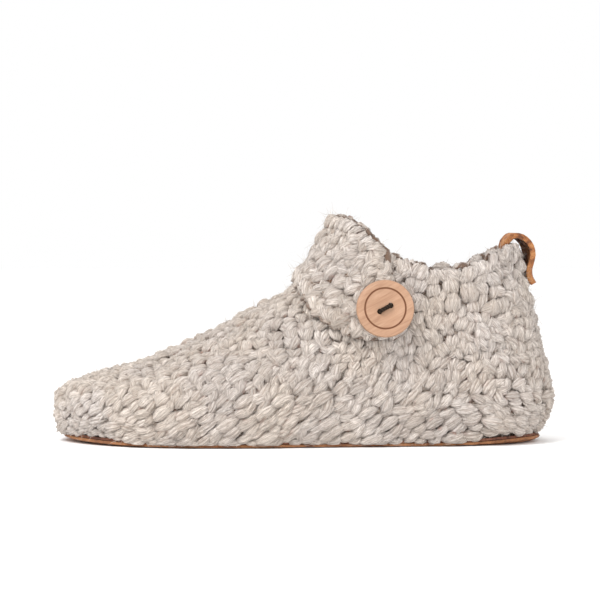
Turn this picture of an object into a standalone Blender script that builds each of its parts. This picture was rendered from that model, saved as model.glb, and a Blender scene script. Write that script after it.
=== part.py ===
"""Left ankle slipper of chunky crocheted wool on a thin two-ply leather sole.

The toe points along -X and the heel along +X. The lateral side, with the button, faces -Y.
The sole rests on z = 0, and the origin is under the middle of the slipper's bounding box.
All lengths are in metres.
"""

import math
from collections import namedtuple

import bmesh
import bpy
import numpy as np
from mathutils import Matrix, Vector

# Overall sizes of the wool upper, measured outside
LENGTH = 0.250
BALL_WIDTH = 0.100
WAIST_WIDTH = 0.0836
HEEL_WIDTH = 0.0712
HEEL_HEIGHT = 0.097
COLLAR_DIP = 0.0176
WALL = 0.005

# Foot shape seen from above
HEEL_ROUND = 0.035
TOE_SWING = 0.006
ARCH_SHIFT = 0.0015
TOE_TAPER = 0.90
TOE_STATION = 0.06
BALL_STATION = 0.32
WAIST_STATION = 0.60
HEEL_STATION = 0.87

# Leather sole, a shallow tray of two plies under the wool. The tucks are how far the wool
# bulges past it, and nose and spring start are shares of LENGTH.
TOE_TUCK = 0.0050
SIDE_TUCK = 0.0050
HEEL_TUCK = 0.0060
SOLE_NOSE = 0.20
PLY = 0.0012
TOE_SPRING = 0.0010
SPRING_START = 0.196
LIP_BAND = 0.0080
LIP_POWER = 2.2
TOE_LIP = 0.0014
SIDE_LIP = 0.0005
HEEL_LIP = 0.0024

# Joint of wool and leather
GAP = 0.0003
FEATHER_INSET = 0.0016
LIP_OVERHANG = 0.0012
LIP_RISE = 0.45

# Felt insole
INSOLE_THICKNESS = 0.004
INSOLE_CLEARANCE = 0.0005

# Flap that wraps over the instep
FLAP_CLEARANCE = 0.0010
EDGE_CROWN = 0.0014
THROAT_LEVEL = 8.8
QUARTER_EDGE_SHARE = 0.4375
FLAP_ROOT_SHARE = 0.640625
FLAP_BOW = 1.5

# Wooden button and the cord through it
BUTTON_SHARE = 0.2783
BUTTON_LEVEL = 7.54
BUTTON_RADIUS = 0.0140
BUTTON_THICKNESS = 0.0042
BUTTON_BEVEL = 0.0008
BUTTON_SEAT = 0.0005
BUTTON_TURN = math.radians(29)
BUTTON_SIDES = 40
RING_RADIUS = 0.0099
RING_WIDTH = 0.0006
RING_DEPTH = 0.0005
DISH_DEPTH = 0.0009
HOLE_SPACING = 0.0060
HOLE_CLEARANCE = 0.00035
HOLE_SIDES = 12
CORD_RADIUS = 0.0010
CORD_BEND = 1.1 * CORD_RADIUS
CORD_BEND_STEPS = 4

# Leather pull loop over the heel
LOOP_THICKNESS = 0.0026
LOOP_WIDTH = 0.017
LOOP_SEAT = 0.0006
LOOP_REACH = 0.020
LOOP_TWIST = math.radians(9)
LOOP_STEPS = 26
LOOP_COLUMNS = 5

# Mesh density
COLUMNS = 64
FOOT_ROWS = 9
FLAP_ROWS = 4
FLAP_COLUMNS = 20
NOSE_STEPS = 40
SIDE_STEPS = 30

# Sections of the wool, from just above the sole to the collar. Front, back and nose are shares of
# LENGTH, the heights of HEEL_HEIGHT, the half-widths of each named width, and dip of COLLAR_DIP.
Section = namedtuple("Section", "front back front_z back_z nose ball waist heel dip")
SECTIONS = [
    Section(0.006, 0.988, 0.093, 0.098, 0.210, 0.970, 0.957, 0.961, 0.00),
    Section(0.000, 0.997, 0.155, 0.160, 0.216, 1.000, 0.993, 0.992, 0.00),
    Section(0.004, 1.000, 0.227, 0.232, 0.224, 0.996, 1.000, 1.000, 0.00),
    Section(0.022, 0.995, 0.289, 0.304, 0.248, 0.966, 0.986, 0.994, 0.00),
    Section(0.070, 0.989, 0.336, 0.376, 0.288, 0.930, 0.967, 0.983, 0.00),
    Section(0.166, 0.983, 0.405, 0.459, 0.336, 0.890, 0.945, 0.972, 0.00),
    Section(0.278, 0.974, 0.522, 0.552, 0.336, 0.850, 0.923, 0.961, 0.00),
    Section(0.380, 0.964, 0.658, 0.655, 0.280, 0.800, 0.900, 0.949, 0.08),
    Section(0.465, 0.954, 0.769, 0.768, 0.216, 0.760, 0.876, 0.941, 0.30),
    Section(0.526, 0.945, 0.913, 0.881, 0.184, 0.740, 0.861, 0.941, 0.62),
    Section(0.575, 0.936, 1.142, 1.000, 0.168, 0.730, 0.861, 0.949, 1.00),
]
TOP_LEVEL = len(SECTIONS) - 1

# Depth of the collar's dip along the ankle, from its front to its back
Dip = namedtuple("Dip", "along depth")
DIPS = [
    Dip(0.00, 0.00),
    Dip(0.08, 0.02),
    Dip(0.14, 0.20),
    Dip(0.22, 0.55),
    Dip(0.34, 0.86),
    Dip(0.51, 1.00),
    Dip(0.69, 0.75),
    Dip(0.81, 0.48),
    Dip(0.92, 0.15),
    Dip(1.00, 0.00),
]

# The flap, from its root on the medial side to its end under the button. Each column runs from
# a low place to a high one, as shares of the way round and as section levels.
Flap = namedtuple("Flap", "low_share high_share low high lift")
FLAPS = [
    Flap(FLAP_ROOT_SHARE, FLAP_ROOT_SHARE, THROAT_LEVEL, TOP_LEVEL, 0.0),
    Flap(0.6150, 0.617, THROAT_LEVEL + 0.25, TOP_LEVEL, 0.6),
    Flap(0.5900, 0.595, THROAT_LEVEL - 0.05, TOP_LEVEL, 1.0),
    Flap(0.5500, 0.560, 8.45, TOP_LEVEL, 1.0),
    Flap(0.5000, 0.515, 8.38, TOP_LEVEL, 1.0),
    Flap(0.4500, 0.475, 8.15, TOP_LEVEL, 1.0),
    Flap(0.4000, 0.440, 7.62, TOP_LEVEL, 1.0),
    Flap(0.3500, 0.410, 6.95, TOP_LEVEL, 1.0),
    Flap(0.3000, 0.385, 6.38, TOP_LEVEL, 1.0),
    Flap(0.2600, 0.365, 6.05, TOP_LEVEL, 1.0),
    Flap(0.2225, 0.345, 5.98, TOP_LEVEL, 1.0),
]

# Rings of the sole from its edge inwards, as insets at the toe, the sides and the heel. The
# outer four carry the wool. The others are shares of the heel's width, and the last one
# bounds the flat patch that rests on the floor.
SoleRing = namedtuple("SoleRing", "front side back")
INNER_RINGS = [
    SoleRing(0.17, 0.155, 0.155),
    SoleRing(0.39, 0.210, 0.180),
    SoleRing(0.65, 0.270, 0.225),
]

# Places along the foot, as shares of LENGTH, where the foot's middle swings aside and where
# the sole's edge turns up
Swing = namedtuple("Swing", "along aside")
SWINGS = [
    Swing(0.00, TOE_SWING),
    Swing(0.14, TOE_SWING / 2),
    Swing(BALL_STATION, 0.0),
    Swing(WAIST_STATION, -ARCH_SHIFT),
    Swing(HEEL_STATION, 0.0),
]
Lip = namedtuple("Lip", "along height")
LIPS = [
    Lip(0.000, TOE_LIP),
    Lip(0.060, TOE_LIP),
    Lip(0.260, SIDE_LIP),
    Lip(0.800, SIDE_LIP),
    Lip(0.965, HEEL_LIP),
    Lip(1.000, HEEL_LIP),
]

# Middle line of the pull loop, from its end inside the heel to its tail outside. Side says
# which face of the wool it follows, and stand_off and up are shares of LOOP_REACH, measured
# from where it would lie on that face and from the top of the heel's rim. Twist is a share of
# LOOP_TWIST.
LoopPoint = namedtuple("LoopPoint", "side stand_off up twist")
LOOP_POINTS = [
    LoopPoint(-1, 0.00, -0.85, 0.0),
    LoopPoint(-1, 0.00, -0.60, 0.0),
    LoopPoint(-1, 0.05, -0.28, 0.1),
    LoopPoint(-1, 0.03, 0.04, 0.3),
    LoopPoint(-1, -0.10, 0.23, 0.5),
    LoopPoint(0, 0.00, 0.28, 0.7),
    LoopPoint(1, -0.05, 0.23, 0.9),
    LoopPoint(1, 0.11, 0.06, 1.0),
    LoopPoint(1, 0.14, -0.17, 1.0),
    LoopPoint(1, 0.08, -0.38, 0.7),
    LoopPoint(1, 0.01, -0.57, 0.3),
    LoopPoint(1, 0.00, -0.76, 0.1),
    LoopPoint(1, 0.05, -0.92, 0.3),
]

TOE_X = -LENGTH / 2


def smooth(stations, values, at):
    """A cubic through a table's rows that never overshoots them."""
    stations = np.asarray(stations, float)
    values = np.asarray(values, float)
    steps = np.diff(stations)
    slopes = np.diff(values) / steps
    tangents = np.concatenate([slopes[:1], np.zeros(len(slopes) - 1), slopes[-1:]])
    same_way = slopes[:-1] * slopes[1:] > 0
    before = 2 * steps[1:] + steps[:-1]
    after = steps[1:] + 2 * steps[:-1]
    safe_low = np.where(same_way, slopes[:-1], 1.0)
    safe_high = np.where(same_way, slopes[1:], 1.0)
    harmonic = (before + after) / (before / safe_low + after / safe_high)
    tangents[1:-1] = np.where(same_way, harmonic, 0.0)
    at = np.clip(at, stations[0], stations[-1])
    row = np.clip(np.searchsorted(stations, at, side="right") - 1, 0, len(steps) - 1)
    step = steps[row]
    t = (at - stations[row]) / step
    return (
        values[row] * (1 + 2 * t) * (1 - t) ** 2
        + values[row + 1] * t**2 * (3 - 2 * t)
        + tangents[row] * step * t * (1 - t) ** 2
        - tangents[row + 1] * step * t**2 * (1 - t)
    )


def section_at(level):
    """The wool's section at a level between the rows of the table."""
    rows = np.arange(len(SECTIONS))
    return Section(*[float(smooth(rows, column, level)) for column in zip(*SECTIONS)])


def centre_line(x):
    """Sideways shift of the foot's middle, towards the big toe and out at the waist."""
    return smooth(*zip(*SWINGS), (x - TOE_X) / LENGTH)


def outline(front, back, nose, ball, waist, heel, shares):
    """Points seen from above of a foot-shaped ring, at shares of the way round it.

    A share of 0 is the middle of the heel, 0.25 the lateral side, 0.5 the toe.
    """
    turn = np.linspace(0, math.pi / 2, NOSE_STEPS)
    heel_x = back - HEEL_ROUND * (1 - np.cos(turn))
    toe_x = (front + nose * (1 - np.cos(turn)))[::-1]
    side_x = np.linspace(heel_x[-1], toe_x[0], SIDE_STEPS)[1:-1]
    x = np.concatenate([heel_x, side_x, toe_x])
    cap = np.concatenate([np.sin(turn), np.ones(len(side_x)), np.sin(turn)[::-1]])
    stations = [TOE_STATION, BALL_STATION, WAIST_STATION, HEEL_STATION]
    half = cap * smooth(stations, [TOE_TAPER * ball, ball, waist, heel], (x - TOE_X) / LENGTH)
    points = np.zeros((len(shares), 2))
    for side, way in ((-1, shares <= 0.5), (1, shares > 0.5)):
        y = centre_line(x) + side * half
        run = np.concatenate([[0], np.cumsum(np.hypot(np.diff(x), np.diff(y)))])
        walked = 2 * np.where(side < 0, shares[way], 1 - shares[way]) * run[-1]
        points[way, 0] = np.interp(walked, run, x)
        points[way, 1] = np.interp(walked, run, y)
    return points


def wool_ring(level, shares):
    """Points on the wool's outside at one level, at shares of the way round."""
    s = section_at(level)
    front = TOE_X + s.front * LENGTH
    back = TOE_X + s.back * LENGTH
    half_widths = [
        s.ball * BALL_WIDTH / 2,
        s.waist * WAIST_WIDTH / 2,
        s.heel * HEEL_WIDTH / 2,
    ]
    flat = outline(front, back, s.nose * LENGTH, *half_widths, np.asarray(shares, float))
    along = (flat[:, 0] - front) / (back - front)
    z = HEEL_HEIGHT * (s.front_z + (s.back_z - s.front_z) * along)
    z = z - COLLAR_DIP * s.dip * smooth(*zip(*DIPS), along)
    return np.column_stack([flat, z])


def wool_point(share, level):
    return wool_ring(level, [share])[0]


def wool_normal(share, level):
    """Outward direction of the wool at a place, from its neighbours."""
    share_step, level_step = 0.004, 0.1
    around = wool_point(share + share_step, level) - wool_point(share - share_step, level)
    top = min(level + level_step / 2, TOP_LEVEL)
    up = wool_point(share, top) - wool_point(share, top - level_step)
    normal = np.cross(up, around)
    return normal / np.linalg.norm(normal)


def lip_height(x):
    """How far the sole's edge turns up, at a place along the foot."""
    return smooth(*zip(*LIPS), (x - TOE_X) / LENGTH)


def even_ring(inset):
    return SoleRing(inset, inset, inset)


def sole_rings():
    """Insets of the sole's rings, from its edge to its flat patch."""
    widths = [0.0, FEATHER_INSET, FEATHER_INSET + 0.4 * WALL, FEATHER_INSET + WALL]
    inner = [SoleRing(*[share * HEEL_WIDTH for share in ring]) for ring in INNER_RINGS]
    return [even_ring(width) for width in widths] + inner


def sole_ring(inset, shares):
    """Points on the underside of the leather, on a ring inset from its edge."""
    front = TOE_X + TOE_TUCK
    back = TOE_X + LENGTH - HEEL_TUCK
    half_widths = [w / 2 - SIDE_TUCK - inset.side for w in (BALL_WIDTH, WAIST_WIDTH, HEEL_WIDTH)]
    flat = outline(front + inset.front, back - inset.back, SOLE_NOSE * LENGTH, *half_widths, shares)
    x = flat[:, 0]
    spring_end = TOE_X + SPRING_START * LENGTH
    bend = np.clip((spring_end - x) / (spring_end - front), 0, None)
    turned = np.clip(1 - inset.side / LIP_BAND, 0, None) ** LIP_POWER
    z = TOE_SPRING * bend**2 + lip_height(x) * turned
    return np.column_stack([flat, z])


def tray_rings(insets, height):
    """Rings at a height above the leather's underside, square to its surface."""
    shares = np.arange(COLUMNS) / COLUMNS
    nearby = 0.0005
    rings = []
    for inset in insets:
        points = sole_ring(inset, shares)
        inwards = sole_ring(SoleRing(*[width + nearby for width in inset]), shares) - points
        around = np.roll(points, -1, axis=0) - np.roll(points, 1, axis=0)
        normals = np.cross(around, inwards)
        normals = normals * np.sign(normals[:, 2:3])
        normals = normals / np.linalg.norm(normals, axis=1, keepdims=True)
        if inset == insets[-1]:
            normals = np.tile([0.0, 0.0, 1.0], (COLUMNS, 1))
        rings.append(points + height * normals)
    return rings


def material(name, colour, roughness):
    made = bpy.data.materials.new(name)
    made.use_nodes = True
    shader = made.node_tree.nodes["Principled BSDF"]
    shader.inputs["Base Color"].default_value = (*colour, 1.0)
    shader.inputs["Roughness"].default_value = roughness
    shader.inputs["Metallic"].default_value = 0.0
    return made


def solid_object(name, mesh_data, finish, smooth_angle=math.radians(40)):
    """Turns a bmesh into a named object with its faces pointing out."""
    bmesh.ops.recalc_face_normals(mesh_data, faces=mesh_data.faces[:])
    mesh = bpy.data.meshes.new(name)
    mesh_data.to_mesh(mesh)
    mesh_data.free()
    mesh.shade_smooth()
    mesh.set_sharp_from_angle(angle=smooth_angle)
    mesh.materials.append(finish)
    made = bpy.data.objects.new(name, mesh)
    bpy.context.scene.collection.objects.link(made)
    return made


def ring_band(mesh_data, lower, upper):
    """Faces between two closed rings of vertices."""
    for i in range(len(lower)):
        j = (i + 1) % len(lower)
        mesh_data.faces.new([lower[i], lower[j], upper[j], upper[i]])


def tray_layer(name, insets, low, high, finish):
    """A sheet that follows the tray of the sole, between two heights above its underside."""
    shape = bmesh.new()
    under = [[shape.verts.new(p) for p in ring] for ring in tray_rings(insets, low)]
    over = [[shape.verts.new(p) for p in ring] for ring in tray_rings(insets, high)]
    for rings in (under, over):
        for outer, inner in zip(rings, rings[1:]):
            ring_band(shape, outer, inner)
        shape.faces.new(rings[-1])
    ring_band(shape, under[0], over[0])
    return solid_object(name, shape, finish)


def grid_normals(rows):
    """Outward directions on rows of points that close round the foot."""
    rows = np.asarray(rows)
    up = np.gradient(rows, axis=0)
    around = np.roll(rows, -1, axis=1) - np.roll(rows, 1, axis=1)
    normals = np.cross(up, around)
    return normals / np.linalg.norm(normals, axis=2, keepdims=True)


def body_surfaces():
    """Rows of outer and inner points of the wool, from the sole to the collar."""
    shares = np.arange(COLUMNS) / COLUMNS
    foot_levels = [0, 1, 2, *np.linspace(3, THROAT_LEVEL, FOOT_ROWS + 1)]
    ankle_levels = np.linspace(THROAT_LEVEL, TOP_LEVEL, FLAP_ROWS + 1)[1:]
    wool = [wool_ring(level, shares) for level in [*foot_levels, *ankle_levels]]
    edge, feather, _, feather_inner = tray_rings(sole_rings(), 2 * PLY + 2 * GAP)[:4]
    over_lip = sole_ring(even_ring(-LIP_OVERHANG), shares)
    over_lip[:, 2] = edge[:, 2] + LIP_RISE * (wool[0][:, 2] - edge[:, 2])
    outer = np.asarray([feather, edge, over_lip, *wool])
    normals = grid_normals(outer)
    for row, upward in enumerate([0.0, 0.0, 1 / 3, 2 / 3]):
        normals[row, :, 2] *= upward
    normals = normals / np.linalg.norm(normals, axis=2, keepdims=True)
    inner = outer - WALL * normals
    inner[0] = feather_inner
    return outer, inner


def flap_surfaces():
    """Columns of outer and inner points of the flap, from its root to its end."""
    table = Flap(*zip(*FLAPS[::-1]))
    places = np.linspace(FLAP_ROOT_SHARE, FLAPS[-1].low_share, FLAP_COLUMNS + 1)
    rows = np.linspace(0, 1, FLAP_ROWS + 1)
    outer, inner = [], []
    for place in places:
        at = Flap(*[float(smooth(table.low_share, column, place)) for column in table])
        shares = at.low_share + (at.high_share - at.low_share) * rows**FLAP_BOW
        levels = at.low + (at.high - at.low) * rows
        points = np.array([wool_point(*spot) for spot in zip(shares, levels)])
        normals = np.array([wool_normal(*spot) for spot in zip(shares, levels)])
        raised = points + at.lift * (WALL + FLAP_CLEARANCE) * normals
        outer.append(raised)
        inner.append(raised - WALL * normals)
    return outer, inner


def build_upper(finish):
    """The wool: foot, quarters and collar, with the flap knitted on at its medial root."""
    outer, inner = body_surfaces()
    throat_row = len(outer) - 1 - FLAP_ROWS
    quarter = round(QUARTER_EDGE_SHARE * COLUMNS)
    root = round(FLAP_ROOT_SHARE * COLUMNS)
    points = {}
    sheet = []
    for i, j in np.ndindex(len(outer), COLUMNS):
        points["body", i, j] = (outer[i, j], inner[i, j])
    for i in range(len(outer) - 1):
        for j in range(COLUMNS):
            if i >= throat_row and quarter <= j < root:
                continue
            k = (j + 1) % COLUMNS
            corners = [(i, j), (i + 1, j), (i + 1, k), (i, k)]
            sheet.append([("body", *corner) for corner in corners])
    flap_outer, flap_inner = flap_surfaces()
    rows = len(flap_outer[0])
    for column in range(1, len(flap_outer)):
        for row in range(rows):
            points["flap", row, column] = (flap_outer[column][row], flap_inner[column][row])

    def corner_name(row, column):
        return ("body", throat_row + row, root) if column == 0 else ("flap", row, column)

    for column in range(len(flap_outer) - 1):
        for row in range(rows - 1):
            corners = [(row, column), (row, column + 1), (row + 1, column + 1), (row + 1, column)]
            sheet.append([corner_name(*corner) for corner in corners])
    return solid_object("upper", thick_sheet(sheet, points), finish, math.radians(60))


def thick_sheet(sheet, points):
    """A solid from a sheet of named corners, each with an outer and an inner point.

    Its free edges are crowned like a crocheted edge, apart from the one on the sole.
    """
    shape = bmesh.new()
    used = sorted({corner for face in sheet for corner in face})
    outside = {corner: shape.verts.new(points[corner][0]) for corner in used}
    inside = {corner: shape.verts.new(points[corner][1]) for corner in used}
    for face in sheet:
        shape.faces.new([outside[c] for c in face])
        shape.faces.new([inside[c] for c in reversed(face)])
    edges = {}
    for face in sheet:
        for a, b in zip(face, face[1:] + face[:1]):
            edges.setdefault(frozenset((a, b)), []).append((a, b, face))
    free = [found[0] for found in edges.values() if len(found) == 1]
    away = {}
    for a, b, face in free:
        middle = sum(np.mean(points[c], axis=0) for c in face) / len(face)
        edge_middle = (np.mean(points[a], axis=0) + np.mean(points[b], axis=0)) / 2
        along = np.mean(points[b], axis=0) - np.mean(points[a], axis=0)
        out = edge_middle - middle
        out = out - along * (out @ along) / (along @ along)
        for corner in (a, b):
            away[corner] = away.get(corner, 0) + out / np.linalg.norm(out)
    crown = {}
    for corner, out in away.items():
        if corner[:2] != ("body", 0):
            middle = np.mean(points[corner], axis=0)
            crown[corner] = shape.verts.new(middle + EDGE_CROWN * out / np.linalg.norm(out))
    for a, b, _ in free:
        if a in crown:
            shape.faces.new([outside[b], outside[a], crown[a], crown[b]])
            shape.faces.new([crown[b], crown[a], inside[a], inside[b]])
        else:
            shape.faces.new([outside[b], outside[a], inside[a], inside[b]])
    return shape


def button_profile():
    """Radius and height of the button's turned section, from its back to its middle."""
    face = BUTTON_THICKNESS
    band = (BUTTON_RADIUS - RING_RADIUS) / 2
    return [
        (BUTTON_RADIUS - 2 * BUTTON_BEVEL, 0.0),
        (BUTTON_RADIUS - BUTTON_BEVEL / 4, BUTTON_BEVEL),
        (BUTTON_RADIUS, face - 2 * BUTTON_BEVEL),
        (BUTTON_RADIUS - BUTTON_BEVEL / 2, face - BUTTON_BEVEL / 2),
        (BUTTON_RADIUS - band, face),
        (RING_RADIUS + RING_WIDTH / 2, face - BUTTON_BEVEL / 4),
        (RING_RADIUS, face - RING_DEPTH),
        (RING_RADIUS - RING_WIDTH / 2, face - BUTTON_BEVEL / 4),
        (0.7 * RING_RADIUS, face - 0.75 * DISH_DEPTH),
        (0.35 * RING_RADIUS, face - DISH_DEPTH),
    ]


def turned(name, profile, sides, finish):
    """A closed solid of revolution about Z."""
    shape = bmesh.new()
    rings = []
    for radius, height in profile:
        ring = []
        for i in range(sides):
            angle = 2 * math.pi * i / sides
            ring.append(shape.verts.new((radius * math.cos(angle), radius * math.sin(angle), height)))
        rings.append(ring)
    for lower, upper in zip(rings, rings[1:]):
        ring_band(shape, lower, upper)
    shape.faces.new(rings[0])
    shape.faces.new(rings[-1])
    return solid_object(name, shape, finish, math.radians(35))


def button_frame():
    """Where the button sits on the flap: its back's centre, its face and its holes' line."""
    normal = wool_normal(BUTTON_SHARE, BUTTON_LEVEL)
    seat = wool_point(BUTTON_SHARE, BUTTON_LEVEL)
    seat = seat + (WALL + FLAP_CLEARANCE + BUTTON_SEAT) * normal
    facing = Vector(normal)
    level = Vector((0, 0, 1)).cross(facing).normalized()
    line = Matrix.Rotation(BUTTON_TURN, 3, facing) @ level
    across = facing.cross(line)
    turn = Matrix((line, across, facing)).transposed()
    return Matrix.Translation(seat) @ turn.to_4x4()


def build_button(wood):
    """The turned disc with its two holes."""
    button = turned("button", button_profile(), BUTTON_SIDES, wood)
    for side in (-1, 1):
        radius = CORD_RADIUS + HOLE_CLEARANCE
        through = [(radius, -BUTTON_THICKNESS), (radius, 2 * BUTTON_THICKNESS)]
        cutter = turned("button_hole", through, HOLE_SIDES, wood)
        cutter.location.x = side * HOLE_SPACING / 2
        cutter.parent = button
        cutter.hide_render = True
        cutter.display_type = "WIRE"
        hole = button.modifiers.new("hole", "BOOLEAN")
        hole.operation = "DIFFERENCE"
        hole.solver = "EXACT"
        hole.object = cutter
    button.matrix_world = button_frame()
    return button


def build_button_cord(finish):
    """One stitch of cord through both holes, with its bar over the button's face."""
    face = BUTTON_THICKNESS - DISH_DEPTH
    half = HOLE_SPACING / 2
    bend_z = face + GAP
    path = [Vector((-half, 0, 0))]
    for centre, start in ((-half + CORD_BEND, math.pi), (half - CORD_BEND, math.pi / 2)):
        for step in range(CORD_BEND_STEPS + 1):
            angle = start - step * math.pi / 2 / CORD_BEND_STEPS
            x = centre + CORD_BEND * math.cos(angle)
            path.append(Vector((x, 0, bend_z + CORD_BEND * math.sin(angle))))
    path.append(Vector((half, 0, 0)))
    curve = bpy.data.curves.new("button_cord", "CURVE")
    curve.dimensions = "3D"
    curve.bevel_depth = CORD_RADIUS
    curve.bevel_resolution = 2
    curve.use_fill_caps = True
    spline = curve.splines.new("POLY")
    spline.points.add(len(path) - 1)
    for point, place in zip(spline.points, path):
        point.co = (*place, 1.0)
    curve.materials.append(finish)
    cord = bpy.data.objects.new("button_cord", curve)
    bpy.context.scene.collection.objects.link(cord)
    cord.matrix_world = button_frame()
    return cord


def rounded_path(values, at):
    """A rounded curve through hand-placed values, with each tangent set by its neighbours."""
    values = np.asarray(values, float)
    tangents = np.gradient(values)
    row = np.clip(np.floor(at).astype(int), 0, len(values) - 2)
    t = at - row
    return (
        values[row] * (1 + 2 * t) * (1 - t) ** 2
        + values[row + 1] * t**2 * (3 - 2 * t)
        + tangents[row] * t * (1 - t) ** 2
        - tangents[row + 1] * t**2 * (1 - t)
    )


def build_heel_loop(finish):
    """The leather strip stitched inside and outside the heel, arched over its rim."""
    rim = wool_point(0.0, TOP_LEVEL)
    table = Section(*[np.array(column) for column in zip(*SECTIONS)])
    line = []
    for point in LOOP_POINTS:
        z = rim[2] + point.up * LOOP_REACH
        outer_face = TOE_X + LENGTH * smooth(table.back_z * HEEL_HEIGHT, table.back, z)
        middle = outer_face - WALL / 2
        away = WALL / 2 + LOOP_SEAT + LOOP_THICKNESS / 2 + point.stand_off * LOOP_REACH
        line.append((middle + point.side * away, z, point.twist * math.tan(LOOP_TWIST)))
    at = np.linspace(0, len(line) - 1, LOOP_STEPS)
    line = np.column_stack([rounded_path(column, at) for column in zip(*line)])
    direction = np.gradient(line[:, :2], axis=0)
    direction = direction / np.linalg.norm(direction, axis=1, keepdims=True)
    side = np.column_stack([-direction[:, 1], direction[:, 0]]) * LOOP_THICKNESS / 2
    bend = HEEL_ROUND - WALL
    shape = bmesh.new()
    rings = []
    for place, offset in zip(line, side):
        ring = []
        across = np.linspace(-0.5, 0.5, LOOP_COLUMNS) * LOOP_WIDTH
        for way, edge in ((1, across), (-1, across[::-1])):
            for y in edge:
                sag = bend - math.sqrt(bend**2 - y**2)
                x, z = place[:2] + way * offset
                ring.append(shape.verts.new((x - sag - place[2] * y, y, z)))
        rings.append(ring)
    for lower, upper in zip(rings, rings[1:]):
        ring_band(shape, lower, upper)
    shape.faces.new(rings[0])
    shape.faces.new(rings[-1])
    return solid_object("heel_loop", shape, finish)


def stand_on_origin(pieces):
    """Puts the middle of the whole slipper's footprint over the origin."""
    bpy.context.view_layer.update()
    corners = np.array([piece.matrix_world @ Vector(c) for piece in pieces for c in piece.bound_box])
    middle = (corners.min(axis=0) + corners.max(axis=0)) / 2
    slipper = bpy.data.objects.new("slipper", None)
    bpy.context.scene.collection.objects.link(slipper)
    for piece in pieces:
        piece.parent = slipper
    slipper.location = (-middle[0], -middle[1], 0)


def main():
    for old in list(bpy.data.objects):
        bpy.data.objects.remove(old)
    wool = material("oatmeal_wool", (0.61, 0.53, 0.47), 0.95)
    tan = material("tan_leather", (0.51, 0.20, 0.07), 0.60)
    russet = material("russet_leather", (0.35, 0.11, 0.06), 0.65)
    felt = material("wool_felt", (0.50, 0.43, 0.37), 0.95)
    wood = material("turned_wood", (0.74, 0.47, 0.30), 0.45)
    dark_cord = material("waxed_cord", (0.03, 0.02, 0.01), 0.60)
    stack = 2 * PLY + GAP
    rings = sole_rings()
    insole_edge = FEATHER_INSET + WALL + INSOLE_CLEARANCE
    insole_rings = [even_ring(insole_edge), *rings[-len(INNER_RINGS):]]
    pieces = [
        tray_layer("outsole", rings, 0.0, PLY, tan),
        tray_layer("midsole", rings, PLY + GAP, stack, russet),
        tray_layer("insole", insole_rings, stack + GAP, stack + GAP + INSOLE_THICKNESS, felt),
        build_upper(wool),
        build_heel_loop(tan),
        build_button(wood),
        build_button_cord(dark_cord),
    ]
    stand_on_origin(pieces)


main()
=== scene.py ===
"""Looks of a left ankle slipper of chunky crocheted wool on a two-ply leather sole.

Everything is in metres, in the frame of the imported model: toe along -X, lateral side along -Y.
"""

import math
from collections import namedtuple

import bmesh
import bpy
import numpy as np
from mathutils import Matrix, Vector
from mathutils.kdtree import KDTree


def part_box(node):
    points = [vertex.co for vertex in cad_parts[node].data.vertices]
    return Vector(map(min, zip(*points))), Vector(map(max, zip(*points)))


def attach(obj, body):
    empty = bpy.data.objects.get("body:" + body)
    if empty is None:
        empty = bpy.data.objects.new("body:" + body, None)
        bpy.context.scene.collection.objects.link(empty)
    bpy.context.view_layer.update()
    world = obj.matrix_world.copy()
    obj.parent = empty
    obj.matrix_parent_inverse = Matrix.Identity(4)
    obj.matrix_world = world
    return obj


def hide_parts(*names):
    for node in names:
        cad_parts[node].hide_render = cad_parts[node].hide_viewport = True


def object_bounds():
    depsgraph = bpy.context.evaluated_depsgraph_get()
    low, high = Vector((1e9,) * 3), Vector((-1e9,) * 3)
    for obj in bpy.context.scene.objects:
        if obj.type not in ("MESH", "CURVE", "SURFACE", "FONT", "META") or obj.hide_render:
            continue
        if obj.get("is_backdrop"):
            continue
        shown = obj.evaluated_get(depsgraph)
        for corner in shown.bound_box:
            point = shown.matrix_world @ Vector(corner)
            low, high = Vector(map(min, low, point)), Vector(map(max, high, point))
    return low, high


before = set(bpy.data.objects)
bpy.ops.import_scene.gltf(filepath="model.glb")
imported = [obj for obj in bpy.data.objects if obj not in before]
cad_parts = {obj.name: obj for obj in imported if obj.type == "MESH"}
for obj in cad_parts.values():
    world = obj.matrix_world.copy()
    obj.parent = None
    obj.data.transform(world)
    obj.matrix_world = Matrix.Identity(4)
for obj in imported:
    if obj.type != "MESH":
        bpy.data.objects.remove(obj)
cad_low, cad_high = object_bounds()
rng = np.random.default_rng(11)

MM = 0.001

# The wool's shape, as the CAD source has it
LENGTH = 0.250
BALL_WIDTH = 0.100
WAIST_WIDTH = 0.0836
HEEL_WIDTH = 0.0712
HEEL_HEIGHT = 0.097
COLLAR_DIP = 0.0176
WALL = 0.005
HEEL_ROUND = 0.035
TOE_SWING = 0.006
ARCH_SHIFT = 0.0015
TOE_TAPER = 0.90
STATIONS = [0.06, 0.32, 0.60, 0.87]
FLAP_CLEARANCE = 0.0010
THROAT_LEVEL = 8.8
TOP_LEVEL = 10.0
QUARTER_EDGE_SHARE = 0.4375
FLAP_ROOT_SHARE = 0.640625
FLAP_END_SHARE = 0.2225
FLAP_BOW = 1.5
TOE_X = -LENGTH / 2

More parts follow.
